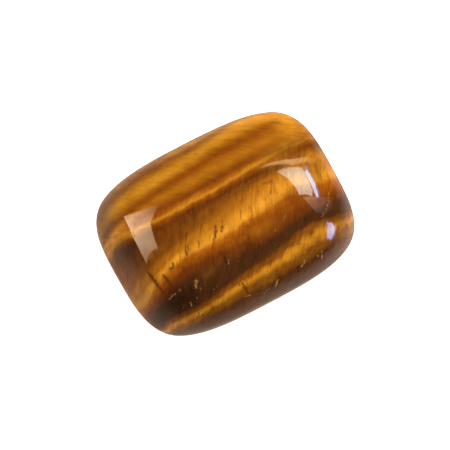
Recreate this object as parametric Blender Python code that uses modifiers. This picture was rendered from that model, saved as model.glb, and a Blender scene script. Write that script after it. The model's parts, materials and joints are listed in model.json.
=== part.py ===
# A tumbled tiger's eye: one polished cushion-shaped stone, with a small flat to rest on and fine
# surface cracks. Metres, +Z up, +X along the stone, +Y across it, and the origin under the middle
# of its box.

from math import atan2, cos, radians, sin

import bmesh
import bpy
from mathutils import Matrix, Vector
from mathutils.bvhtree import BVHTree

MM = 0.001

# The stone's waist, where it is widest, before the lean makes it a little longer.
WAIST_LENGTH = 24.2 * MM
WAIST_WIDTH = 19.4 * MM
HEIGHT = 13.2 * MM
WAIST_HEIGHT = 5.6 * MM
# The underside would bulge this far below the resting flat that cuts it off.
BELLY_BELOW_FLAT = 0.6 * MM

# Each outline is a rounded box: a power of 2 is an ellipse, and a higher power has squarer corners.
PLAN_POWER = 3.8
CROWN_POWER = 3.25
CROWN_POWER_LESS_ALONG_X = 0.4
CROWN_POWER_MORE_ALONG_Y = 0.4
BELLY_POWER = 2.0

# The crown sits to one side of the waist: this much sideways for each unit of height.
LEAN_X = 0.41
LEAN_Y = -0.14
# The plan is a little out of square: the far side lies this much towards -X for each unit of Y.
PLAN_SKEW = -0.033

# The cage is a cube with this many faces along each edge, drawn closer together at its corners.
CAGE_FACES = 12
CROWDING = 0.25
CAGE_SMOOTHING = 1

CUTTER_MARGIN = 2.0 * MM
CRACK_WIDTH = 0.22 * MM
CRACK_DEPTH = 0.13 * MM
CHIP_WIDTH = 0.45 * MM

# Where each crack is on the crown: X and Y in mm, its length in mm, and its heading in degrees
# from +X. A chip is a crack as wide as CHIP_WIDTH.
CRACKS = {
    "left_shoulder_long": (-9.6, -2.6, 2.3, -84),
    "left_shoulder_short": (-8.4, -3.0, 1.1, -80),
    "left_nick": (-7.4, -2.1, 0.7, 28),
    "left_hairline": (-6.4, -3.6, 1.5, -85),
    "near_left_corner": (-7.2, -7.7, 0.8, 15),
    "near_edge_long": (-1.7, -7.8, 1.5, -84),
    "near_edge_right": (6.0, -6.7, 1.1, -20),
    "right_shoulder": (9.8, -4.1, 2.7, 42),
    "right_end": (10.9, -0.7, 2.4, 66),
    "far_edge_right": (4.2, 6.9, 1.7, -37),
    "far_edge_middle": (1.6, 6.6, 1.4, -40),
    "top_hook": (-5.2, -1.3, 0.9, 76),
    "top_streak_left": (-4.3, 0.0, 0.8, 42),
    "top_streak_middle": (-1.7, -1.2, 1.3, 67),
    "top_streak_right": (1.4, -0.6, 1.3, 71),
    "top_streak_far_right": (2.7, -0.7, 1.2, 60),
    "top_nick": (0.7, 1.8, 0.7, 54),
}
CHIPS = {
    "left_chip": (-6.2, -4.8, 0.8, 60),
    "near_edge_chip": (1.6, -8.7, 0.5, 50),
    "near_edge_small_chip": (5.1, -8.3, 0.4, 43),
}

# The stone's overall colour: honey gold and umber bands seen together.
STONE_COLOUR = (0.38, 0.17, 0.035, 1.0)
STONE_ROUGHNESS = 0.12


def clear_scene():
    for thing in list(bpy.data.objects):
        bpy.data.objects.remove(thing, do_unlink=True)


def make_collection(name):
    collection = bpy.data.collections.new(name)
    bpy.context.scene.collection.children.link(collection)
    return collection


def make_stone_material():
    material = bpy.data.materials.new("polished_tigers_eye")
    material.use_nodes = True
    shader = material.node_tree.nodes["Principled BSDF"]
    shader.inputs["Base Color"].default_value = STONE_COLOUR
    shader.inputs["Roughness"].default_value = STONE_ROUGHNESS
    shader.inputs["Metallic"].default_value = 0.0
    return material


def crowded(step):
    # Moves a place from -1 to 1 towards its nearer end, where the stone curves most.
    return step * (1.0 + CROWDING * (1.0 - step * step))


def crown_power(x, y):
    # The near side and the +X end are rounder than the far side and the -X end.
    heading = atan2(y, x)
    return CROWN_POWER - CROWN_POWER_LESS_ALONG_X * cos(heading) + CROWN_POWER_MORE_ALONG_Y * sin(heading)


def stone_point(cube_point):
    # Draws a point of a cube from -1 to 1 in to the rounded box, and scales that to the stone.
    x, y, z = (crowded(step) for step in cube_point)
    if z > 0.0:
        power = crown_power(x, y)
        rise = HEIGHT - WAIST_HEIGHT
    else:
        power = BELLY_POWER
        rise = WAIST_HEIGHT + BELLY_BELOW_FLAT
    plan = (abs(x) ** PLAN_POWER + abs(y) ** PLAN_POWER) ** (1.0 / PLAN_POWER)
    reach = (plan ** power + abs(z) ** power) ** (1.0 / power)
    along = x / reach * WAIST_LENGTH / 2.0
    across = y / reach * WAIST_WIDTH / 2.0
    height = z / reach * rise
    return Vector((
        along + PLAN_SKEW * across + LEAN_X * height,
        across + LEAN_Y * height,
        WAIST_HEIGHT + height,
    ))


def evaluated_mesh(thing):
    bpy.context.view_layer.update()
    depsgraph = bpy.context.evaluated_depsgraph_get()
    return thing.evaluated_get(depsgraph).to_mesh()


def centre_over_origin(thing):
    corners = [vertex.co for vertex in evaluated_mesh(thing).vertices]
    middle_x = (min(c.x for c in corners) + max(c.x for c in corners)) / 2.0
    middle_y = (min(c.y for c in corners) + max(c.y for c in corners)) / 2.0
    thing.data.transform(Matrix.Translation((-middle_x, -middle_y, 0.0)))


def make_stone(collection):
    cage = bmesh.new()
    bmesh.ops.create_cube(cage, size=2.0)
    bmesh.ops.subdivide_edges(cage, edges=cage.edges[:], cuts=CAGE_FACES - 1, use_grid_fill=True)
    for vertex in cage.verts:
        vertex.co = stone_point(vertex.co)
    bmesh.ops.recalc_face_normals(cage, faces=cage.faces[:])
    mesh = bpy.data.meshes.new("tigers_eye_stone")
    cage.to_mesh(mesh)
    cage.free()
    mesh.shade_smooth()
    mesh.materials.append(make_stone_material())

    stone = bpy.data.objects.new("tigers_eye_stone", mesh)
    collection.objects.link(stone)
    smoothing = stone.modifiers.new("soft_form", "SUBSURF")
    smoothing.levels = CAGE_SMOOTHING
    smoothing.render_levels = CAGE_SMOOTHING
    centre_over_origin(stone)
    return stone


def make_flat_cutter(collection):
    # A block whose top face is the plane that the stone rests on.
    length = WAIST_LENGTH + 2.0 * CUTTER_MARGIN
    width = WAIST_WIDTH + 2.0 * CUTTER_MARGIN
    block = bmesh.new()
    bmesh.ops.create_cube(block, size=1.0)
    bmesh.ops.scale(block, vec=(length, width, CUTTER_MARGIN), verts=block.verts[:])
    bmesh.ops.translate(block, vec=(0.0, 0.0, -CUTTER_MARGIN / 2.0), verts=block.verts[:])
    return finish_cutter(block, "resting_flat_cutter", collection)


def lens_on_surface(surface, place, width):
    # A slim lens lying along a crack, half of it under the stone's surface.
    x, y, length, heading = place
    above = Vector((x * MM, y * MM, 2.0 * HEIGHT))
    point, normal, _, _ = surface.ray_cast(above, Vector((0.0, 0.0, -1.0)))
    across = normal.cross(Vector((cos(radians(heading)), sin(radians(heading)), 0.0))).normalized()
    along = across.cross(normal)
    turned = Matrix((along, across, normal)).transposed().to_4x4()
    size = Matrix.Diagonal((length * MM / 2.0, width / 2.0, CRACK_DEPTH, 1.0))
    return Matrix.Translation(point) @ turned @ size


def make_crack_cutter(stone, collection):
    bpy.context.view_layer.update()
    surface = BVHTree.FromObject(stone, bpy.context.evaluated_depsgraph_get())
    lenses = bmesh.new()
    for places, width in ((CRACKS, CRACK_WIDTH), (CHIPS, CHIP_WIDTH)):
        for place in places.values():
            placed = lens_on_surface(surface, place, width)
            bmesh.ops.create_icosphere(lenses, subdivisions=2, radius=1.0, matrix=placed)
    return finish_cutter(lenses, "crack_cutter", collection)


def finish_cutter(shape, name, collection):
    bmesh.ops.recalc_face_normals(shape, faces=shape.faces[:])
    mesh = bpy.data.meshes.new(name)
    shape.to_mesh(mesh)
    shape.free()
    cutter = bpy.data.objects.new(name, mesh)
    cutter.hide_render = True
    cutter.display_type = "WIRE"
    collection.objects.link(cutter)
    return cutter


def cut(thing, cutter):
    modifier = thing.modifiers.new(cutter.name, "BOOLEAN")
    modifier.operation = "DIFFERENCE"
    modifier.solver = "EXACT"
    modifier.object = cutter


def main():
    clear_scene()
    parts = make_collection("tigers_eye")
    cutters = make_collection("cutters")
    stone = make_stone(parts)
    crack_cutter = make_crack_cutter(stone, cutters)
    flat_cutter = make_flat_cutter(cutters)
    cut(stone, flat_cutter)
    cut(stone, crack_cutter)


main()
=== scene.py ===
import json
import math

import bmesh
import bpy
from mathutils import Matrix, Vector, noise
from mathutils.bvhtree import BVHTree
from mathutils.kdtree import KDTree

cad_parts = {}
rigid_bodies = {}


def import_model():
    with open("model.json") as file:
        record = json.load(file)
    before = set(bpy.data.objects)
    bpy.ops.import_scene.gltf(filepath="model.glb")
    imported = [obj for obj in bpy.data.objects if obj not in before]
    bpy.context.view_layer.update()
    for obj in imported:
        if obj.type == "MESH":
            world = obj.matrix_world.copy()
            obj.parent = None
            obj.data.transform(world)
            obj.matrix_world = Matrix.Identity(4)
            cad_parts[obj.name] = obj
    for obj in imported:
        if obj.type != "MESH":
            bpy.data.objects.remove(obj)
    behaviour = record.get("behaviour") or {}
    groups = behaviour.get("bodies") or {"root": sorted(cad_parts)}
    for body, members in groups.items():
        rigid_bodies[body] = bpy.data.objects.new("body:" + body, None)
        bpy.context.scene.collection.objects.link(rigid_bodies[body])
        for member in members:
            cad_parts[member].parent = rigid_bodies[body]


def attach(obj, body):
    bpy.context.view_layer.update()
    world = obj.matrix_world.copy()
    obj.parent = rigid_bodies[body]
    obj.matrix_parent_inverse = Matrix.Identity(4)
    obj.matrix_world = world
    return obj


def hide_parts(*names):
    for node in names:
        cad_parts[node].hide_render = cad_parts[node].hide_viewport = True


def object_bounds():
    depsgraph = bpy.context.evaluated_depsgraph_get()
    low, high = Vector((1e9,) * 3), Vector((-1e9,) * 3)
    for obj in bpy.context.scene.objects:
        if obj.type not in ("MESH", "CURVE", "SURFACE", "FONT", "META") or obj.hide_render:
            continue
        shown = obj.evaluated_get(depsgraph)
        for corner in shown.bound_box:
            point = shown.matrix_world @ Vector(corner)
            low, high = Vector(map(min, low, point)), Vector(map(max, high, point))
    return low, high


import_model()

mm = 0.001
cadLow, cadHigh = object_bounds()
stoneTop = cadHigh.z


class Signal:
    # a socket that adds its own Math nodes when it is used in a sum
    def __init__(self, wires, socket):
        self.wires = wires
        self.socket = socket

    def mathNode(self, operation, *values):
        return self.wires.node("ShaderNodeMath", {"operation": operation}, dict(enumerate(values)))

    def __add__(self, other):
        return self.mathNode("ADD", self, other)

    def __radd__(self, other):
        return self.mathNode("ADD", other, self)

    def __sub__(self, other):
        return self.mathNode("SUBTRACT", self, other)

    def __rsub__(self, other):
        return self.mathNode("SUBTRACT", other, self)

    def __mul__(self, other):
        return self.mathNode("MULTIPLY", self, other)

    def __rmul__(self, other):
        return self.mathNode("MULTIPLY", other, self)

    def __truediv__(self, other):
        return self.mathNode("DIVIDE", self, other)

    def __pow__(self, other):
        return self.mathNode("POWER", self, other)

    def atLeast(self, other):
        return self.mathNode("MAXIMUM", self, other)

    def atMost(self, other):
        return self.mathNode("MINIMUM", self, other)

    def ramped(self, start, end):
        # 0 at start, 1 at end and smooth between them; start may be the higher of the two
        return self.wires.node(
            "ShaderNodeMapRange",
            {"interpolation_type": "SMOOTHSTEP"},
            {"Value": self, "From Min": start, "From Max": end},
        )


class Wires:
    # builds the nodes of one material, or of the room
    def __init__(self, material):
        material.use_nodes = True
        self.tree = material.node_tree
        self.tree.nodes.clear()

    def node(self, kind, settings=None, inputs=None, output=0):
        made = self.tree.nodes.new(kind)
        for name, value in (settings or {}).items():
            if name == "stops":
                self.setStops(made.color_ramp, value)
            else:
                setattr(made, name, value)
        for name, value in (inputs or {}).items():
            if isinstance(value, Signal):
                self.tree.links.new(value.socket, made.inputs[name])
            else:
                made.inputs[name].default_value = value
        return Signal(self, made.outputs[output]) if made.outputs else None

    def setStops(self, ramp, stops):
        ramp.interpolation = "EASE"
        for index, (place, colour) in enumerate(stops):
            element = ramp.elements[index] if index < 2 else ramp.elements.new(place)
            element.position = place
            element.color = colour

    def vector(self, x, y, z):
        return self.node("ShaderNodeCombineXYZ", None, {"X": x, "Y": y, "Z": z})

    def parts(self, vector):
        split = self.node("ShaderNodeSeparateXYZ", None, {0: vector}).socket.node
        return [Signal(self, split.outputs[name]) for name in "XYZ"]

    def noise(self, vector, detail, roughness):
        settings = {"noise_dimensions": "3D", "normalize": True}
        inputs = {"Vector": vector, "Scale": 1.0, "Detail": detail, "Roughness": roughness}
        return self.node("ShaderNodeTexNoise", settings, inputs)

    def mixColour(self, factor, first, second, blend="MIX"):
        settings = {"data_type": "RGBA", "blend_type": blend, "clamp_factor": True}
        return self.node("ShaderNodeMix", settings, {0: factor, 6: first, 7: second}, output=2)

    def scaled(self, vector, amount):
        settings = {"operation": "SCALE"}
        return self.node("ShaderNodeVectorMath", settings, {0: vector, "Scale": amount})

    def attribute(self, name):
        return self.node("ShaderNodeAttribute", {"attribute_name": name}, None, output="Fac")


camera = {
    "turn": -27.74,             # degrees round the stone, from looking along +Y
    "elevation": 79.6,
    "distance": 190 * mm,
    "lens": 143.7,
    "sensorWidth": 36,
    "clipStart": 10 * mm,
    "aimHeight": 6.6 * mm,
    "aimRight": 0.11 * mm,       # the frame's middle is a little off the stone's middle
    "aimDown": 0.11 * mm,
}


def makeCamera():
    turn = math.radians(camera["turn"])
    elevation = math.radians(camera["elevation"])
    back = Vector((
        math.sin(turn) * math.cos(elevation),
        -math.cos(turn) * math.cos(elevation),
        math.sin(elevation),
    ))
    facing = (-back).to_track_quat("-Z", "Y")
    right = facing @ Vector((1, 0, 0))
    up = facing @ Vector((0, 1, 0))
    aim = Vector((0, 0, camera["aimHeight"])) + right * camera["aimRight"] - up * camera["aimDown"]
    bpy.ops.object.camera_add(location=aim + back * camera["distance"], rotation=facing.to_euler())
    made = bpy.context.object
    made.name = "productCamera"
    made.data.lens = camera["lens"]
    made.data.sensor_width = camera["sensorWidth"]
    made.data.clip_start = camera["clipStart"]
    made.data.dof.use_dof = False
    bpy.context.scene.camera = made
    print("camera placed")


stone = {
    "node": "tigers_eye_stone",
    "cellsAlong": 150,          # faces along, across and up the box that the stone is shaped from
    "cellsAcross": 112,
    "cellsUp": 66,
    "boxMargin": 0.6 * mm,      # the box stands this far off the solid on every side
    "mergeDistance": 0.0001 * mm,
    "softenVoxel": 0.4 * mm,    # the solid's facets and cuts are softened at this size first
    "softenRounds": 6,
    "smoothRounds": 14,
    "smoothFactor": 0.5,
    "fineReach": 0.32 * mm,     # faces this near a mark are split
    "fineRounds": 2,            # so many times over
    "alongShare": 0.9,          # an edge runs along an axis when this share of its length does
}

# each crack runs from one place to another on the crown: X and Y of both ends in mm, then its
# width in mm, and how dark it is
cracks = {
    "leftShoulderLong": (-9.65, -1.3, -9.2, -4.1, 0.30, 1.15),
    "leftShoulderShort": (-8.4, -2.5, -8.2, -4.0, 0.28, 1.0),
    "leftNick": (-7.5, -2.35, -7.2, -2.65, 0.23, 0.95),
    "leftNickTop": (-7.2, -2.65, -7.0, -2.05, 0.20, 0.95),
    "leftHairline": (-6.4, -3.0, -6.2, -4.5, 0.12, 0.75),
    "leftWindowDiagonal": (-9.3, 2.4, -8.9, 3.1, 0.12, 0.6),
    "leftWindowDot": (-8.6, 3.4, -8.4, 3.7, 0.13, 0.6),
    "leftWindowDotFar": (-8.3, 4.0, -8.1, 4.3, 0.10, 0.5),
    "nearLeftCorner": (-7.4, -8.1, -6.8, -7.7, 0.12, 0.8),
    "nearLeftBranch": (-7.0, -8.0, -6.9, -7.4, 0.10, 0.7),
    "nearLeftDot": (-5.5, -8.1, -5.4, -7.7, 0.12, 0.7),
    "nearEdgeLong": (-1.7, -7.2, -1.55, -8.5, 0.22, 1.0),
    "nearEdgeFork": (-1.9, -7.6, -1.6, -7.9, 0.09, 0.7),
    "nearEdgeLeft": (-2.05, -7.15, -1.85, -7.65, 0.10, 0.7),
    "nearEdgeRight": (-1.2, -7.1, -1.3, -7.6, 0.09, 0.6),
    "rightShoulder": (8.6, -5.1, 9.9, -4.3, 0.08, 0.5),
    "rightEndLow": (10.2, -2.4, 10.9, -0.6, 0.11, 0.6),
    "rightEndHigh": (10.9, -0.6, 11.6, 0.6, 0.12, 0.6),
    "rightEndBranch": (10.3, -1.6, 10.7, 0.3, 0.12, 0.4),
    "farEdgeNick": (0.2, 7.1, 0.6, 6.8, 0.11, 0.7),
    "topHook": (-5.38, -2.1, -5.25, -1.65, 0.14, 1.0),
    "topHookTop": (-5.35, -1.75, -5.05, -1.15, 0.11, 0.85),
    "topHookBack": (-5.12, -1.95, -4.85, -1.25, 0.11, 0.85),
    "topStreakLeft": (-4.8, -0.8, -4.2, 0.1, 0.09, 0.6),
    "topStreakNear": (-4.0, -2.05, -3.55, -1.3, 0.09, 0.75),
    "topStreakMiddle": (-2.75, -2.05, -2.35, -1.3, 0.07, 0.5),
    "topPairFoot": (-2.3, -2.02, -2.15, -1.9, 0.12, 0.7),
    "topPairLeft": (-2.0, -1.98, -1.8, -1.5, 0.15, 1.0),
    "topPairHeart": (-1.82, -1.62, -1.56, -1.2, 0.21, 0.95),
    "topPairTop": (-1.56, -1.2, -1.38, -0.68, 0.13, 0.9),
    "topPairRight": (-1.18, -1.64, -1.08, -1.5, 0.14, 0.9),
    "topPairDot": (-0.98, -1.38, -0.76, -1.14, 0.16, 0.85),
    "topPairTail": (-0.76, -1.12, -0.5, -0.5, 0.08, 0.5),
    "topStreakRight": (1.1, -1.6, 1.7, -0.4, 0.09, 0.7),
    "topStreakFarRight": (2.3, -1.8, 3.0, -0.3, 0.09, 0.6),
    "topStreakLast": (4.6, -1.9, 5.0, -0.9, 0.07, 0.4),
    "topNick": (0.5, 1.3, 1.0, 1.9, 0.11, 0.7),
    "topDotRight": (4.8, 0.85, 5.9, 0.55, 0.22, 0.40),
    "nearGoldNick": (5.1, -6.2, 5.7, -6.6, 0.09, 0.6),
}
# pale chips and veins, and at topPairGlint and topPairGlintRight painted glints, laid out in the
# same way: X and Y of both ends, width, and how pale
chipsAndGlints = {
    "leftChip": (-6.05, -5.35, -5.75, -4.85, 0.27, 0.85),
    "leftChipFoot": (-5.85, -6.0, -5.7, -5.65, 0.15, 0.65),
    "leftSpeckRow": (-9.0, -5.0, -8.2, -4.85, 0.20, 0.65),
    "leftSpeckLow": (-8.0, -4.9, -7.5, -4.8, 0.18, 0.60),
    "leftDotLow": (-7.3, -6.75, -7.2, -6.4, 0.13, 0.8),
    "leftDotRow": (-8.2, -6.6, -7.9, -6.2, 0.12, 0.40),
    "leftDotRight": (-6.5, -6.4, -6.3, -6.3, 0.12, 0.5),
    "nearDotLeft": (-4.5, -6.4, -3.8, -6.2, 0.15, 0.55),
    "middleDot": (-2.0, -4.85, -1.85, -4.55, 0.13, 0.95),
    "nearCrackFoot": (-1.9, -8.5, -1.5, -8.65, 0.13, 0.7),
    "nearCrackRing": (-1.1, -8.75, -0.8, -8.8, 0.13, 0.45),
    "nearEdgeTan": (1.35, -8.9, 1.8, -8.55, 0.20, 0.75),
    "nearEdgeDots": (0.0, -9.0, 0.6, -8.85, 0.18, 0.60),
    "nearEdgeTanRight": (4.6, -8.45, 5.1, -8.1, 0.22, 0.85),
    "nearEdgeVeinRight": (6.85, -8.65, 7.2, -8.0, 0.09, 1.15),
    "nearEdgeVeinLeft": (6.45, -8.4, 6.65, -8.1, 0.08, 0.85),
    "rightShoulderVein": (8.7, -4.95, 9.9, -4.1, 0.08, 1.0),
    "rightShoulderTop": (9.9, -4.1, 10.8, -2.8, 0.09, 0.85),
    "middleFleck": (3.65, -4.15, 3.8, -4.0, 0.09, 0.9),
    "middleFleckNear": (5.0, -3.6, 5.5, -3.1, 0.15, 0.5),
    "topPairGlint": (-2.2, -1.45, -1.97, -0.85, 0.07, 0.65),
    "topPairGlintRight": (-1.25, -1.3, -1.1, -0.7, 0.06, 0.6),
    "farFlecks": (2.8, 1.7, 3.7, 2.05, 0.15, 0.5),
    "farFleckLeft": (0.6, 1.35, 0.85, 1.8, 0.14, 0.5),
}
mark = {
    "steps": 14,
    "wander": 0.07 * mm,        # how far a mark strays from its straight line
    "wanderPitch": 2600,        # noise cells in a metre
    "raggedMiddle": 0.75,       # the width wavers round this share of itself
    "raggedRange": 0.5,         # by up to this much either way
    "raggedPitch": 2,           # and this many times as fast as the line strays
    "taperPower": 0.35,         # how suddenly a crack thins at its ends
    "taperLeast": 0.25,
    "edgeReach": 2.5,           # a mark fades out over this many of its widths
    "crackDepth": 0.012 * mm,
    "chipDepth": 0.010 * mm,
}


def selectOnly(thing):
    bpy.ops.object.select_all(action="DESELECT")
    thing.select_set(True)
    bpy.context.view_layer.objects.active = thing


def applyModifier(thing, kind, **settings):
    selectOnly(thing)
    modifier = thing.modifiers.new(kind.lower(), kind)
    for name, value in settings.items():
        setattr(modifier, name, value)
    bpy.ops.object.modifier_apply(modifier=modifier.name)


def splitEdgesAlong(thing, axis, cells):
    # splits every edge that runs along one axis into cells
    bpy.ops.object.mode_set(mode="EDIT")
    bpy.ops.mesh.select_mode(type="EDGE")
    shape = bmesh.from_edit_mesh(thing.data)
    for edge in shape.edges:
        run = edge.verts[0].co - edge.verts[1].co
        edge.select_set(abs(run[axis]) > stone["alongShare"] * run.length)
    bmesh.update_edit_mesh(thing.data)
    bpy.ops.mesh.subdivide(number_cuts=cells - 1)
    bpy.ops.object.mode_set(mode="OBJECT")


def softenedCopyOfSolid():
    solid = bpy.data.objects[stone["node"]]
    copy = solid.copy()
    copy.data = solid.data.copy()
    bpy.context.scene.collection.objects.link(copy)
    selectOnly(copy)
    bpy.ops.object.mode_set(mode="EDIT")
    bpy.ops.mesh.select_all(action="SELECT")
    bpy.ops.mesh.remove_doubles(threshold=stone["mergeDistance"])
    bpy.ops.object.mode_set(mode="OBJECT")
    applyModifier(copy, "REMESH", mode="VOXEL", voxel_size=stone["softenVoxel"])
    applyModifier(copy, "SMOOTH", iterations=stone["softenRounds"], factor=stone["smoothFactor"])
    return copy


def makeStone():
    size = cadHigh - cadLow
    middle = (cadHigh + cadLow) / 2
    margin = 2 * stone["boxMargin"]
    bpy.ops.object.select_all(action="DESELECT")
    bpy.ops.mesh.primitive_cube_add(size=1, location=middle)
    made = bpy.context.object
    made.name = "polishedStone"
    made.scale = [length + margin for length in size]
    bpy.ops.object.transform_apply(location=True, rotation=True, scale=True)
    splitEdgesAlong(made, 0, stone["cellsAlong"])
    splitEdgesAlong(made, 1, stone["cellsAcross"])
    splitEdgesAlong(made, 2, stone["cellsUp"])
    form = softenedCopyOfSolid()
    applyModifier(made, "SHRINKWRAP", target=form, wrap_method="TARGET_PROJECT")
    applyModifier(made, "SMOOTH", iterations=stone["smoothRounds"], factor=stone["smoothFactor"])
    bpy.data.objects.remove(form, do_unlink=True)
    print("stone shaped,", len(made.data.polygons), "faces")
    return made


def markPath(surface, ends):
    # points along a mark, dropped onto the crown and strayed a little from the straight line
    x0, y0, x1, y1 = [place * mm for place in ends]
    across = Vector((y0 - y1, x1 - x0, 0)).normalized()
    points = []
    for step in range(mark["steps"] + 1):
        share = step / mark["steps"]
        place = Vector((x0 + (x1 - x0) * share, y0 + (y1 - y0) * share, 0))
        place += across * noise.noise(place * mark["wanderPitch"]) * mark["wander"]
        hit = surface.ray_cast(place + Vector((0, 0, 2 * stoneTop)), Vector((0, 0, -1)))
        points.append(hit[0])
    return points


def allMarks():
    for kind, places in (("crack", cracks), ("chip", chipsAndGlints)):
        for values in places.values():
            yield kind, values[:4], values[4] * mm, values[5]


def refineNearMarks(made):
    # splits the faces next to each mark, so that the mark's edge is fine
    for _ in range(stone["fineRounds"]):
        surface = BVHTree.FromObject(made, bpy.context.evaluated_depsgraph_get())
        near = set()
        for _, ends, width, _ in allMarks():
            for point in markPath(surface, ends):
                for hit in surface.find_nearest_range(point, stone["fineReach"]):
                    near.add(hit[2])
        selectOnly(made)
        bpy.ops.object.mode_set(mode="EDIT")
        bpy.ops.mesh.select_mode(type="FACE")
        bpy.ops.mesh.select_all(action="DESELECT")
        shape = bmesh.from_edit_mesh(made.data)
        shape.faces.ensure_lookup_table()
        for index in near:
            shape.faces[index].select_set(True)
        bmesh.update_edit_mesh(made.data)
        bpy.ops.mesh.subdivide(number_cuts=1, quadcorner="INNERVERT")
        bpy.ops.object.mode_set(mode="OBJECT")


def cutMarks(made):
    refineNearMarks(made)
    surface = BVHTree.FromObject(made, bpy.context.evaluated_depsgraph_get())
    mesh = made.data
    tree = KDTree(len(mesh.vertices))
    for vertex in mesh.vertices:
        tree.insert(vertex.co, vertex.index)
    tree.balance()
    amount = {"crack": {}, "chip": {}}
    for kind, ends, width, strength in allMarks():
        points = markPath(surface, ends)
        for step, point in enumerate(points):
            share = step / mark["steps"]
            taper = (4 * share * (1 - share)) ** mark["taperPower"] if kind == "crack" else 1
            change = noise.noise(point * mark["wanderPitch"] * mark["raggedPitch"])
            ragged = mark["raggedMiddle"] + mark["raggedRange"] * change
            reach = width * max(mark["taperLeast"], taper) * ragged
            for _, index, distance in tree.find_range(point, mark["edgeReach"] * reach):
                weight = strength * math.exp(-(distance / reach) ** 2)
                amount[kind][index] = max(weight, amount[kind].get(index, 0))
    normals = [vertex.normal.copy() for vertex in mesh.vertices]
    for kind in ("crack", "chip"):
        attribute = mesh.attributes.new(kind, "FLOAT", "POINT")
        for index, weight in amount[kind].items():
            attribute.data[index].value = weight
            mesh.vertices[index].co -= normals[index] * weight * mark[kind + "Depth"]
    mesh.shade_smooth()
    print("cracks and chips cut,", len(mesh.polygons), "faces")


colours = {
    "honey": (0.68, 0.27, 0.018, 1),
    "gold": (0.52, 0.20, 0.011, 1),
    "amber": (0.39, 0.127, 0.005, 1),
    "ember": (0.34, 0.083, 0.003, 1),
    "russet": (0.25, 0.062, 0.002, 1),
    "toffee": (0.20, 0.058, 0.003, 1),
    "olive": (0.17, 0.057, 0.004, 1),
    "chestnut": (0.13, 0.029, 0.0025, 1),
    "umber": (0.060, 0.0185, 0.004, 1),
    "soot": (0.012, 0.005, 0.0025, 1),
    "crackBrown": (0.085, 0.020, 0.001, 1),
    "dustGold": (0.30, 0.13, 0.02, 1),
    "chipAndGlintTan": (0.48, 0.23, 0.06, 1),
}
# each layer of the stone, from the near side to the far side: its colour, and its Y in mm at each X
# of layerPlaces, as it shows on the crown
layerPlaces = (-11.0, -6.4, -1.9, 2.8, 7.0, 10.7)
layers = {
    "nearSideCore": ("gold", -15.8, -15.5, -15.3, -15.2, -15.4, -15.7),
    "nearSideDeep": ("russet", -14.8, -14.6, -14.4, -14.3, -14.5, -14.7),
    "nearSideLowest": ("amber", -13.9, -13.7, -13.6, -13.5, -13.6, -13.8),
    "nearSideLow": ("umber", -13.2, -13.0, -12.9, -12.8, -12.9, -13.1),
    "nearSideGold": ("gold", -12.4, -12.2, -12.1, -12.0, -12.1, -12.3),
    "nearSideDark": ("chestnut", -11.6, -11.5, -11.4, -11.3, -11.4, -11.5),
    "nearSideLine": ("amber", -10.8, -10.7, -10.7, -10.6, -10.7, -10.7),
    "nearSideHigh": ("umber", -9.9, -9.9, -9.9, -9.8, -9.8, -9.8),
    "nearDark": ("umber", -8.1, -8.75, -8.7, -8.65, -8.25, -7.9),
    "nearOlive": ("olive", -7.6, -8.15, -8.0, -7.75, -7.6, -7.1),
    "nearGold": ("gold", -7.15, -7.75, -7.4, -7.0, -6.3, -6.5),
    "nearEdge": ("toffee", -6.75, -7.4, -6.95, -6.35, -5.4, -5.9),
    "darkFoot": ("umber", -6.35, -6.9, -6.35, -5.65, -4.9, -5.25),
    "darkTop": ("umber", -5.5, -4.8, -5.05, -4.95, -4.35, -4.2),
    "brown": ("chestnut", -4.6, -3.45, -3.85, -4.25, -3.7, -3.6),
    "red": ("russet", -4.3, -2.9, -3.0, -2.5, -2.35, -2.75),
    "honeyFoot": ("ember", -3.95, -2.6, -2.55, -2.15, -1.8, -2.15),
    "honeyHeart": ("honey", -3.1, -1.95, -1.85, -1.15, -0.6, -1.1),
    "honeyTop": ("amber", -2.4, -1.3, -0.65, 0.4, 1.1, 0.8),
    "brownAmber": ("toffee", -1.0, -0.5, 0.65, 1.35, 1.6, 1.7),
    "redBrown": ("chestnut", 2.05, 1.8, 1.75, 1.9, 1.85, 2.3),
    "thinFoot": ("russet", 2.55, 2.30, 2.25, 2.42, 2.65, 2.85),
    "thinGold": ("gold", 3.3, 2.62, 2.56, 2.74, 3.02, 3.1),
    "thinTop": ("ember", 3.7, 2.95, 2.88, 3.06, 3.34, 3.4),
    "middleBrown": ("russet", 3.95, 3.65, 3.40, 3.5, 3.75, 3.75),
    "farAmber": ("amber", 4.15, 4.35, 4.45, 4.7, 4.7, 4.4),
    "farBrown": ("russet", 4.6, 5.1, 5.4, 5.9, 6.0, 6.3),
    "farGold": ("gold", 5.9, 6.5, 6.75, 7.2, 7.35, 7.2),
    "farRim": ("toffee", 7.3, 7.75, 7.95, 8.3, 9.0, 8.6),
    "farSideLine": ("amber", 8.6, 8.9, 8.85, 8.8, 9.4, 9.0),
    "farSideDark": ("russet", 9.0, 9.3, 9.25, 9.1, 9.7, 9.4),
    "farSide": ("amber", 9.7, 9.9, 9.8, 9.6, 10.2, 9.9),
}
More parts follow.
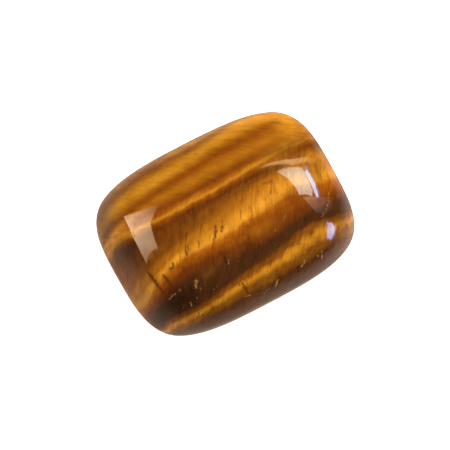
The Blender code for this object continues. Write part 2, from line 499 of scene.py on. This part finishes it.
# soft places where the layers turn darker or brighter: X, Y, half length and half width in
# mm, turn in degrees, and strength. Many follow the stone's own tone; the dark ones along the rims
# and at the left end are painted shade, and the bright ones at the far right shoulder and rim are
# painted highlight
# dark places: the stone's own tone, and painted shade along the rims and at the left end
darkAndShadeSpots = {
    "lowerLeft": (-8.0, -5.8, 2.6, 1.2, 0, 0.80),
    "leftEndFar": (-10.4, 1.6, 1.3, 1.0, 0, 0.65),
    "leftEndMiddle": (-10.4, -0.2, 1.3, 1.3, 0, 0.5),
    "leftEndLow": (-10.9, -5.9, 1.3, 0.8, 0, 0.35),
    "leftEndFringe": (-11.2, -4.3, 1.2, 0.5, 12, 0.28),
    "leftEndHoney": (-10.4, -2.8, 1.5, 1.0, 0, 0.32),
    "leftEndShade": (-9.3, -2.9, 0.8, 1.1, 0, 0.15),
    "leftRimFar": (-11.6, 5.7, 1.3, 1.3, 0, 0.60),
    "leftRimMiddle": (-11.6, 2.8, 1.1, 0.8, 0, 0.65),
    "leftRimNear": (-11.8, -3.2, 0.9, 1.1, 0, 0.40),
    "farCornerLeft": (-10.2, 7.2, 1.6, 1.0, 45, 0.22),
    "farRimLeft": (-5.2, 8.6, 5.5, 0.6, 2, 0.20),
    "honeyEnd": (7.1, -1.9, 0.8, 0.7, 0, 0.2),
    "honeyEndMottleLow": (6.6, -1.7, 0.35, 0.3, 20, 0.30),
    "honeyEndMottle": (6.1, -1.2, 0.3, 0.25, -30, 0.20),
    "honeyEndMottleHigh": (7.5, -0.9, 0.3, 0.2, 40, 0.22),
    "rightEndGap": (9.85, -0.4, 0.55, 1.5, -8, 0.52),
    "rightEndShade": (10.7, -0.6, 0.3, 1.3, -12, 0.35),
    "rightEndRim": (11.8, -0.8, 0.8, 1.3, 0, 0.20),
    "rightEndLow": (10.4, -6.1, 1.2, 0.8, 0, 0.35),
    "nearGoldTip": (-8.4, -7.3, 1.7, 0.45, 0, 0.28),
    "nearLeftRim": (-9.9, -8.2, 1.3, 0.6, -38, 0.35),
    "nearGoldLeft": (-5.4, -7.6, 2.6, 0.5, 5, 0.20),
    "nearRightEnd": (10.8, -6.2, 0.9, 0.8, 0, 0.12),
    "nearGoldRight": (6.8, -6.1, 2.0, 0.7, 8, 0.15),
    "middleSeam": (-2.6, 3.35, 4.0, 0.25, 2, 0.25),
    "farSeamRight": (3.6, 3.45, 2.6, 0.25, 3, 0.15),
    "farOlive": (2.2, 3.7, 1.6, 0.3, 0, 0.15),
    "thinGoldEnd": (9.4, 3.3, 3.2, 0.5, 0, 0.75),
    "leftEndBand": (-10.8, 5.0, 1.7, 0.4, 8, 0.30),
    "archGap": (8.2, 1.35, 1.7, 0.25, -20, 0.2),
    "farStreakLeft": (2.3, 6.5, 1.2, 0.16, -32, 0.35),
    "farStreakMiddle": (4.2, 6.6, 1.3, 0.15, -32, 0.30),
    "farStreakRight": (5.8, 6.9, 1.0, 0.14, -30, 0.22),
    "farShade": (1.6, 6.2, 1.4, 0.4, -20, 0.15),
}
# bright places: the stone's own tone, and painted highlight at the far right shoulder and rim
brightAndHighlightSpots = {
    "honeyMiddle": (0.8, -1.4, 4.2, 0.6, 6, 0.25),
    "redMiddle": (2.6, -3.4, 2.2, 0.6, 0, 0.10),
    "thinGoldLeft": (-3.0, 2.75, 2.0, 0.2, 3, 0.45),
    "thinGoldRight": (4.3, 3.0, 1.1, 0.2, 5, 0.45),
    "farGoldLeft": (-4.2, 6.2, 3.0, 0.4, 3, 0.30),
    "farGoldRight": (5.2, 7.8, 2.6, 0.5, 3, 0.45),
    "farRimMiddle": (0.6, 8.6, 2.6, 0.5, 2, 0.40),
    "farRightGap": (9.4, 3.55, 2.6, 0.5, 0, 0.35),
    "farRightShoulder": (10.7, 5.7, 1.6, 1.6, -25, 0.75),
    "farRightRim": (7.9, 8.0, 3.4, 1.0, -12, 0.85),
    "archBelow": (7.4, 2.2, 1.6, 0.5, -6, 0.30),
    "rightEndFar": (10.6, 1.1, 1.3, 0.8, -20, 0.35),
    "nearRightCorner": (10.8, -7.4, 1.4, 0.7, 35, 0.1),
    "leftEndGold": (-10.8, 3.9, 1.6, 0.55, 0, 0.5),
    "smokeLeft": (-4.0, -4.6, 1.3, 0.5, 20, 0.08),
}
grain = {
    "span": 17.0,               # the layers' ramp runs this far to each side, in mm
    "stepsPerMm": 20,           # how often along X the layers' places are worked out
    "wobble": 0.35,             # slow waves in the layers, in mm
    "fray": 0.7,                # fibres running out of one layer into the next, in mm
    "ripple": 0.35,             # small uneven places in the layers, in mm
    "sway": 1.6,                # slow bends of the fibres, in mm
    "lean": 0.5,                # fibres lean this much towards +X across the middle
    "nearLean": 0.25,           # more on the near side of nearStart
    "nearStart": -5.0,
    "farLean": 1.8,             # and turn back by this much past farStart
    "farStart": 3.4,
    "farCalm": 0.6,             # how much calmer the layers and the silk are on the far side
    "calmEdge": (1.4, 3.0),     # where that sets in, and where it is complete
    "bendStart": 8.8,           # below this height the layers bend towards the far side
    "bendStartAtEnds": 5.0,
    "bend": 1.5,
    "bendEase": 2.0,
    "droopStart": -10.0,        # past here the layers droop towards the near side
    "droop": 0.28,
    "droopEase": 0.6,
    "deepen": 0.5,              # how fast the fibres change down the sides, below bendStart
    "deepenPower": 1.5,
}


def heightsAcross(x):
    # the Y of every layer at one X, on smooth curves through the layers' places
    x = min(max(x, layerPlaces[0]), layerPlaces[-1])
    last = len(layerPlaces) - 2
    index = min(last, sum(place <= x for place in layerPlaces[1:]))
    left, right = layerPlaces[index], layerPlaces[index + 1]
    share = (x - left) / (right - left)
    heights = []
    for _, *values in layers.values():
        before = values[index - 1] if index else values[0]
        after = values[index + 2] if index < last else values[-1]
        start, end = values[index], values[index + 1]
        startSlope = (end - before) / 2
        endSlope = (after - start) / 2
        heights.append(
            start + share * startSlope
            + share ** 2 * (3 * (end - start) - 2 * startSlope - endSlope)
            + share ** 3 * (startSlope + endSlope - 2 * (end - start)))
    return heights


def layerAt(heights, middles, y):
    # which layer a place is in, given as the Y that the layer has at mid-length
    if y <= heights[0]:
        return middles[0] + y - heights[0]
    for index in range(len(heights) - 1):
        if y <= heights[index + 1]:
            share = (y - heights[index]) / (heights[index + 1] - heights[index])
            return middles[index] + share * (middles[index + 1] - middles[index])
    return middles[-1] + y - heights[-1]


def spotAmount(spots, x, y):
    total = 0
    for spotX, spotY, halfLength, halfWidth, turn, strength in spots.values():
        cosine = math.cos(math.radians(turn))
        sine = math.sin(math.radians(turn))
        along = (x - spotX) * cosine + (y - spotY) * sine
        across = (y - spotY) * cosine - (x - spotX) * sine
        total += strength * math.exp(-(along / halfLength) ** 2 - (across / halfWidth) ** 2)
    return total


def eased(distance, ease):
    # nothing below 0, and a slope of 1 well past ease
    distance = max(0, distance)
    return distance ** 2 / (distance + ease)


def markLayers(made):
    # works out for every point which layer it is in, and how much the dark and bright spots change
    # it there, which holds painted shade and highlight at the rims as well as the stone's own tone
    mesh = made.data
    middles = heightsAcross(0.0)
    known = {}
    for name in ("layer", "dusk", "gleam"):
        mesh.attributes.new(name, "FLOAT", "POINT")
    fields = [mesh.attributes[name].data for name in ("layer", "dusk", "gleam")]
    bendDrop = grain["bendStartAtEnds"] - grain["bendStart"]
    for vertex in mesh.vertices:
        x, y, z = vertex.co / mm
        towardsEnd = x * mm / cadHigh.x
        bendStart = grain["bendStart"] + bendDrop * towardsEnd ** 2
        y -= grain["bend"] * eased(bendStart - z, grain["bendEase"])
        y += grain["droop"] * eased(grain["droopStart"] - x, grain["droopEase"])
        step = round(x * grain["stepsPerMm"])
        if step not in known:
            known[step] = heightsAcross(step / grain["stepsPerMm"])
        amounts = (
            layerAt(known[step], middles, y),
            spotAmount(darkAndShadeSpots, x, y),
            spotAmount(brightAndHighlightSpots, x, y),
        )
        for field, amount in zip(fields, amounts):
            field[vertex.index].value = amount
    print("layers marked")


# each noise in the stone: its cells per mm along X or along the fibres, across the stone and up it,
# how much it speeds up down the sides, its detail and its roughness
noises = {
    "sway": (0.12, 0.4, 0.2, 0, 1.0, 0.5),
    "wobble": (0.17, 0.6, 0.4, 0, 2.0, 0.5),
    "fray": (1.6, 0.5, 0.5, 1, 2.0, 0.55),
    "ripple": (1.1, 2.2, 1.1, 0, 2.0, 0.6),
    "cloud": (0.55, 1.0, 0.9, 0, 4.0, 0.6),
    "silk": (1.7, 0.55, 0.5, 1, 2.0, 0.6),
    "gaps": (3.6, 0.8, 0.8, 2, 2.0, 0.5),
    "threads": (5.5, 0.8, 0.8, 3, 3.0, 0.6),
    "hairs": (14.0, 1.6, 1.6, 6, 2.0, 0.6),
    "grit": (7.0, 7.0, 7.0, 0, 3.0, 0.6),
    "crumbs": (8.0, 8.0, 8.0, 0, 2.0, 0.7),
    "haze": (0.8, 0.8, 0.8, 0, 2.0, 0.5),
}
# painted chatoyant sheen: how much the fibres brighten and dim the colour
fibresAndSheen = {
    "brightness": -0.05,        # and what each noise adds to it
    "cloud": 0.65,
    "silk": 0.75,
    "threads": 0.5,
    "hairs": 0.25,
    "silkKept": 0.35,           # the share of the silk and of the threads that farCalm leaves alone
    "threadsKept": 0.2,
    "gaps": 0.30,               # how much the dark gaps take away
    "gapEdge": (0.56, 0.70),
    "gapsWhereDim": (0.62, 0.35),   # none where the silk is above the first, all below the second
    "gapShift": 40,             # keeps the gaps off the silk's own pattern
    "greenFade": 1.25,          # where the silk is dim the stone is redder as well
    "blueFade": 1.3,
    "darkAndShadeLeast": 0.75,          # a dark place is cloudy, and a bright one silky
    "darkAndShadeCloud": 0.5,
    "brightAndHighlightLeast": 0.5,
}
polish = {
    "dust": 0.25,
    "dustEdge": (0.62, 0.74),
    "crackLeast": 0.45,         # a crack is darker where the grit is
    "crackMost": 0.9,
    "chipSpread": 1.1,          # a chip breaks up into crumbs towards its edge
    "crumbSpread": 3.0,
    "crumbLevel": 2.05,
    "crumbEdge": (0.0, 0.6),
    "chipEdge": (0.04, 0.3),
    "chipMost": 0.8,
    "hazeEdge": (0.5, 0.8),
    "roughness": 0.03,          # and what the marks and the haze add to it
    "crackRoughness": 0.08,
    "chipRoughness": 0.1,
    "hazeRoughness": 0.04,
    "threadRelief": 0.7,        # the polish follows the fibres faintly
    "hairRelief": 0.3,
    "reliefStrength": 0.25,
    "reliefHeight": 0.002 * mm,
    "ior": 1.56,
}


def centred(noiseSignal):
    # about 0 instead of about a half
    return noiseSignal - 0.5


def makeStoneMaterial():
    material = bpy.data.materials.new("tigersEyePolished")
    wires = Wires(material)
    coordinates = wires.node("ShaderNodeTexCoord", output="Object")
    x, y, z = wires.parts(wires.scaled(coordinates, 1 / mm))
    deep = (grain["bendStart"] - z).atLeast(0) ** grain["deepenPower"] * grain["deepen"]

    def noiseOf(name, along=x, shift=0):
        alongPitch, acrossPitch, upPitch, deepPitch, detail, roughness = noises[name]
        across = y * acrossPitch
        up = z * upPitch
        along = along * alongPitch
        if shift:
            along = along + shift
        if deepPitch:
            up = up + deep * deepPitch
        return wires.noise(wires.vector(along, across, up), detail, roughness)

    # fibres run across the layers, lean in the middle and turn back in the far third
    farPast = (y - grain["farStart"]).atLeast(0)
    nearPast = (grain["nearStart"] - y).atLeast(0)
    fibre = (
        x - y * grain["lean"] + farPast * grain["farLean"] + nearPast * grain["nearLean"]
        + centred(noiseOf("sway")) * grain["sway"])

    lively = 1 - y.ramped(*grain["calmEdge"]) * grain["farCalm"]
    layer = (
        wires.attribute("layer")
        + centred(noiseOf("wobble")) * grain["wobble"]
        + centred(noiseOf("fray", fibre)) * lively * grain["fray"]
        + centred(noiseOf("ripple")) * grain["ripple"])
    span = grain["span"]
    middles = heightsAcross(0.0)
    stops = [
        ((middle + span) / (2 * span), colours[values[0]])
        for middle, values in zip(middles, layers.values())]
    base = wires.node("ShaderNodeValToRGB", {"stops": stops}, {0: (layer + span) / (2 * span)})

    # the fibres and their painted chatoyant sheen: clouds, broad silk, dark gaps in it, fine
    # threads and hair-fine lines
    cloud = noiseOf("cloud")
    silk = noiseOf("silk", fibre)
    gaps = noiseOf("gaps", fibre, fibresAndSheen["gapShift"]).ramped(*fibresAndSheen["gapEdge"])
    threads = noiseOf("threads", fibre)
    hairs = noiseOf("hairs", fibre)

    def calmed(noiseSignal, kept):
        return centred(noiseSignal) * (kept + lively * (1 - kept)) + 0.5

    # glow is painted chatoyant sheen together with the fibres' own streaks, multiplied into the
    # colour
    glow = (
        fibresAndSheen["brightness"]
        + cloud * fibresAndSheen["cloud"]
        + calmed(silk, fibresAndSheen["silkKept"]) * fibresAndSheen["silk"]
        + calmed(threads, fibresAndSheen["threadsKept"]) * fibresAndSheen["threads"]
        + hairs * fibresAndSheen["hairs"]
        - gaps * silk.ramped(*fibresAndSheen["gapsWhereDim"]) * lively * fibresAndSheen["gaps"])
    # the dark and bright spots mix the colour towards soot and honey: the stone's own tone, and
    # painted shade and highlight along the rims
    dusk = wires.attribute("dusk") * (fibresAndSheen["darkAndShadeLeast"] + cloud * fibresAndSheen["darkAndShadeCloud"])
    gleam = wires.attribute("gleam") * (fibresAndSheen["brightAndHighlightLeast"] + silk)
    dimmed = wires.mixColour(dusk, base, colours["soot"])
    brightened = wires.mixColour(gleam, dimmed, colours["honey"])
    tint = wires.vector(glow, glow ** fibresAndSheen["greenFade"], glow ** fibresAndSheen["blueFade"])
    lit = wires.node("ShaderNodeVectorMath", {"operation": "MULTIPLY"}, {0: brightened, 1: tint})

    # dust, cracks, and chips with a few painted glints
    crack = wires.attribute("crack")
    chip = wires.attribute("chip")
    grit = noiseOf("grit")
    dust = grit.ramped(*polish["dustEdge"]) * polish["dust"]
    dark = (crack * (polish["crackLeast"] + grit)).atMost(polish["crackMost"])
    crumbs = chip * polish["chipSpread"] + noiseOf("crumbs") * polish["crumbSpread"]
    broken = (crumbs - polish["crumbLevel"]).ramped(*polish["crumbEdge"])
    # pale chip colour, which at the glint marks is a painted glint
    pale = broken * chip.ramped(*polish["chipEdge"]) * polish["chipMost"]
    dusted = wires.mixColour(dust, lit, colours["dustGold"])
    cracked = wires.mixColour(dark, dusted, colours["crackBrown"])
    chipped = wires.mixColour(pale, cracked, colours["chipAndGlintTan"])

    haze = noiseOf("haze").ramped(*polish["hazeEdge"])
    relief = wires.node("ShaderNodeBump", None, {
        "Strength": polish["reliefStrength"],
        "Distance": polish["reliefHeight"],
        "Height": threads * polish["threadRelief"] + hairs * polish["hairRelief"],
    })
    shader = wires.node("ShaderNodeBsdfPrincipled", None, {
        "Base Color": chipped,
        "Metallic": 0.0,
        "Roughness": (
            polish["roughness"] + crack * polish["crackRoughness"] + chip * polish["chipRoughness"]
            + haze * polish["hazeRoughness"]),
        "Normal": relief,
        "IOR": polish["ior"],
    })
    wires.node("ShaderNodeOutputMaterial", None, {"Surface": shader})
    print("stone's material made")
    return material


studio = {
    "floorHalf": 1.2,
    "floorColour": (0.93, 0.93, 0.93, 1),
    "paperRoughness": 0.9,
    "lampDistance": 0.7,
    "lampSide": 0.7,
    "lampColour": (1.0, 0.98, 0.95),
    # each lamp's name, the way to it and its brightness; the second shines on the paper alone
    "stoneLamp": ("overheadPanel", (0.22, 0.05, 1.0), 5.0),
    "paperLamp": ("paperPanel", (-0.10, -0.18, 1.0), 8.0),
    "paperGlow": 0.1,
    "roomGlow": 0.03,            # what the polish mirrors above the floor, where no card is
    "floorGlow": (0.42, 0.35, 0.28, 1),     # and below it
    "farFloorGlow": (0.20, 0.15, 0.10, 1),  # where the floor meets the room
    "floorFade": (-0.75, 0.0),              # the directions' Z between which those two blend
    "horizon": (-0.02, 0.0),                # and between which the floor ends and the room begins
    "sideGlow": (1.5, 1.1, 0.95, 1),        # a warm glow low down, mirrored along the right end
    "sideGlowTowards": (0.80, -0.48, -0.36),
    "sideGlowEdge": (0.60, 0.96),           # the cosines where it starts and where it is full
    "backdropGlow": 1.0,         # what the camera sees past the floor
    "cardDistance": 1.5,
    "cardStep": 0.05,
}
# the bright cards that the polish mirrors: colour, brightness, and the corners, each with the X
# and Y of its direction from the stone and its own share of the brightness
cards = {
    "leftWindow": ((1.0, 0.78, 0.50), 6.3, (
        (-0.88, 0.47, 0.9), (-0.78, 0.455, 0.75), (-0.62, 0.445, 0.6), (-0.30, 0.405, 0.0),
        (-0.42, 0.35, 0.35), (-0.59, 0.26, 1.0), (-0.655, 0.18, 0.85), (-0.735, 0.113, 0.7),
        (-0.88, 0.112, 0.65), (-0.985, 0.10, 0.45), (-0.97, 0.18, 1.25), (-0.94, 0.30, 1.5),
    )),
    "rightWindow": ((0.60, 0.84, 0.78), 8.8, (
        (0.28, 0.215, 0.45), (0.40, 0.19, 0.7), (0.60, 0.145, 0.75), (0.62, 0.12, 1.05),
        (0.605, 0.08, 1.05), (0.56, 0.055, 1.0), (0.49, 0.075, 0.95), (0.40, 0.09, 0.9),
        (0.40, 0.11, 0.95), (0.37, 0.14, 0.9), (0.33, 0.17, 0.8),
    )),
    "dimWindow": ((0.90, 0.70, 0.60), 3.2, (
        (0.43, 0.07, 1.0), (0.61, 0.045, 0.85), (0.67, 0.03, 0.5), (0.88, 0.02, 0.0),
        (0.82, -0.12, 0.0), (0.66, -0.17, 0.0), (0.50, -0.12, 0.1), (0.46, 0.02, 0.7),
    )),
    "blueStrip": ((0.42, 0.72, 1.0), 22.5, (
        (0.622, 0.126, 0.5), (0.67, 0.126, 0.5), (0.685, 0.11, 0.9), (0.68, 0.09, 1.0),
        (0.665, 0.07, 0.9), (0.64, 0.038, 0.75), (0.605, 0.038, 0.65), (0.614, 0.07, 0.9),
        (0.625, 0.09, 1.0), (0.628, 0.11, 0.9),
    )),
    "blueDiamond": ((0.28, 0.52, 1.0), 14.5, (
        (0.57, -0.32, 0.7), (0.64, -0.38, 0.9), (0.65, -0.49, 1.0), (0.57, -0.64, 1.0),
        (0.48, -0.74, 0.8), (0.45, -0.67, 0.8), (0.48, -0.52, 0.65),
    )),
    "blueFringe": ((0.16, 0.30, 1.0), 5.0, (
        (0.62, 0.14, 0.5), (0.70, 0.14, 0.7), (0.715, 0.10, 1.0), (0.69, 0.05, 1.0),
        (0.65, 0.02, 0.9), (0.60, 0.03, 0.6), (0.62, 0.10, 0.7),
    )),
    "diamondFringe": ((0.16, 0.28, 1.0), 4.0, (
        (0.56, -0.29, 0.3), (0.66, -0.36, 0.6), (0.68, -0.50, 1.0), (0.58, -0.68, 1.0),
        (0.47, -0.79, 1.0), (0.42, -0.68, 0.8), (0.46, -0.50, 0.4),
    )),
    "thinArc": ((1.0, 0.70, 0.36), 6.5, (
        (0.17, 0.31, 0.2), (0.25, 0.30, 0.9), (0.35, 0.265, 1.1), (0.49, 0.225, 1.1),
        (0.65, 0.19, 0.8), (0.83, 0.16, 0.35), (0.95, 0.13, 0.0), (0.83, 0.13, 0.25),
        (0.65, 0.16, 0.65), (0.47, 0.185, 0.9), (0.35, 0.235, 0.8), (0.25, 0.275, 0.6),
    )),
}


def makeFloor():
    bpy.ops.object.select_all(action="DESELECT")
    bpy.ops.mesh.primitive_plane_add(size=2 * studio["floorHalf"])
    floor = bpy.context.object
    floor.name = "paleFloor"
    floor.visible_glossy = False      # the polish mirrors the room's own floor glow in its place
    material = bpy.data.materials.new("palePaper")
    wires = Wires(material)
    paper = wires.node("ShaderNodeBsdfPrincipled", None, {
        "Base Color": studio["floorColour"],
        "Roughness": studio["paperRoughness"],
        "Specular IOR Level": 0.0,
        "Emission Color": (1, 1, 1, 1),
        "Emission Strength": studio["paperGlow"],
    })
    wires.node("ShaderNodeOutputMaterial", None, {"Surface": paper})
    floor.data.materials.append(material)
    print("floor laid")
    return floor


def grey(level):
    return (level, level, level, 1)


def makeRoom():
    world = bpy.data.worlds.new("studioRoom")
    bpy.context.scene.world = world
    wires = Wires(world)
    towards = wires.node("ShaderNodeTexCoord", output="Generated")
    _, _, height = wires.parts(towards)
    sideways = wires.node(
        "ShaderNodeVectorMath", {"operation": "DOT_PRODUCT"},
        {0: towards, 1: studio["sideGlowTowards"]}, output="Value")
    nearness = height.ramped(*studio["floorFade"])
    ground = wires.mixColour(nearness, studio["floorGlow"], studio["farFloorGlow"])
    mirrored = wires.mixColour(height.ramped(*studio["horizon"]), ground, grey(studio["roomGlow"]))
    besideGlow = sideways.ramped(*studio["sideGlowEdge"])
    mirrored = wires.mixColour(besideGlow, mirrored, studio["sideGlow"])
    seen = wires.node("ShaderNodeLightPath", output="Is Camera Ray")
    colour = wires.mixColour(seen, mirrored, grey(studio["backdropGlow"]))
    glow = wires.node("ShaderNodeBackground", None, {"Color": colour})
    wires.node("ShaderNodeOutputWorld", None, {"Surface": glow})
    bpy.context.scene.view_settings.view_transform = "Standard"
    print("room lit")


def makeLamp(name, towards, brightness):
    towards = Vector(towards).normalized()
    side = studio["lampSide"]
    facing = (-towards).to_track_quat("-Z", "Y")
    bpy.ops.object.light_add(
        type="AREA", location=towards * studio["lampDistance"], rotation=facing.to_euler())
    lamp = bpy.context.object
    lamp.name = name
    lamp.data.shape = "SQUARE"
    lamp.data.size = side
    lamp.data.energy = brightness * math.pi * side * side     # equally bright at any size
    lamp.data.color = studio["lampColour"]
    lamp.visible_glossy = False
    return lamp


def makeLamps(floor):
    makeLamp(*studio["stoneLamp"])
    paperLamp = makeLamp(*studio["paperLamp"])
    paperOnly = bpy.data.collections.new("paperOnly")
    paperOnly.objects.link(floor)
    paperLamp.light_linking.receiver_collection = paperOnly
    print("lamps placed")


def makeCards():
    for index, (name, (colour, brightness, corners)) in enumerate(cards.items()):
        distance = studio["cardDistance"] + index * studio["cardStep"]
        bpy.ops.object.select_all(action="DESELECT")
        bpy.ops.mesh.primitive_circle_add(vertices=len(corners), fill_type="NGON")
        card = bpy.context.object
        card.name = name
        share = card.data.attributes.new("share", "FLOAT", "POINT")
        for vertex, (x, y, amount) in zip(card.data.vertices, corners):
            z = math.sqrt(max(0, 1 - x * x - y * y))
            vertex.co = Vector((x, y, z)) * distance
            share.data[vertex.index].value = amount
        material = bpy.data.materials.new(name + "Glow")
        wires = Wires(material)
        tint = wires.scaled(colour, wires.attribute("share"))
        glow = wires.node("ShaderNodeEmission", None, {"Color": tint, "Strength": brightness})
        wires.node("ShaderNodeOutputMaterial", None, {"Surface": glow})
        card.data.materials.append(material)
        card.visible_camera = False
        card.visible_diffuse = False
        card.visible_shadow = False
    print("cards placed")


makeCamera()
polishedStone = makeStone()
cutMarks(polishedStone)
markLayers(polishedStone)
polishedStone.data.materials.append(makeStoneMaterial())
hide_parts(stone["node"])
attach(polishedStone, "root")
paleFloor = makeFloor()
makeRoom()
makeLamps(paleFloor)
makeCards()
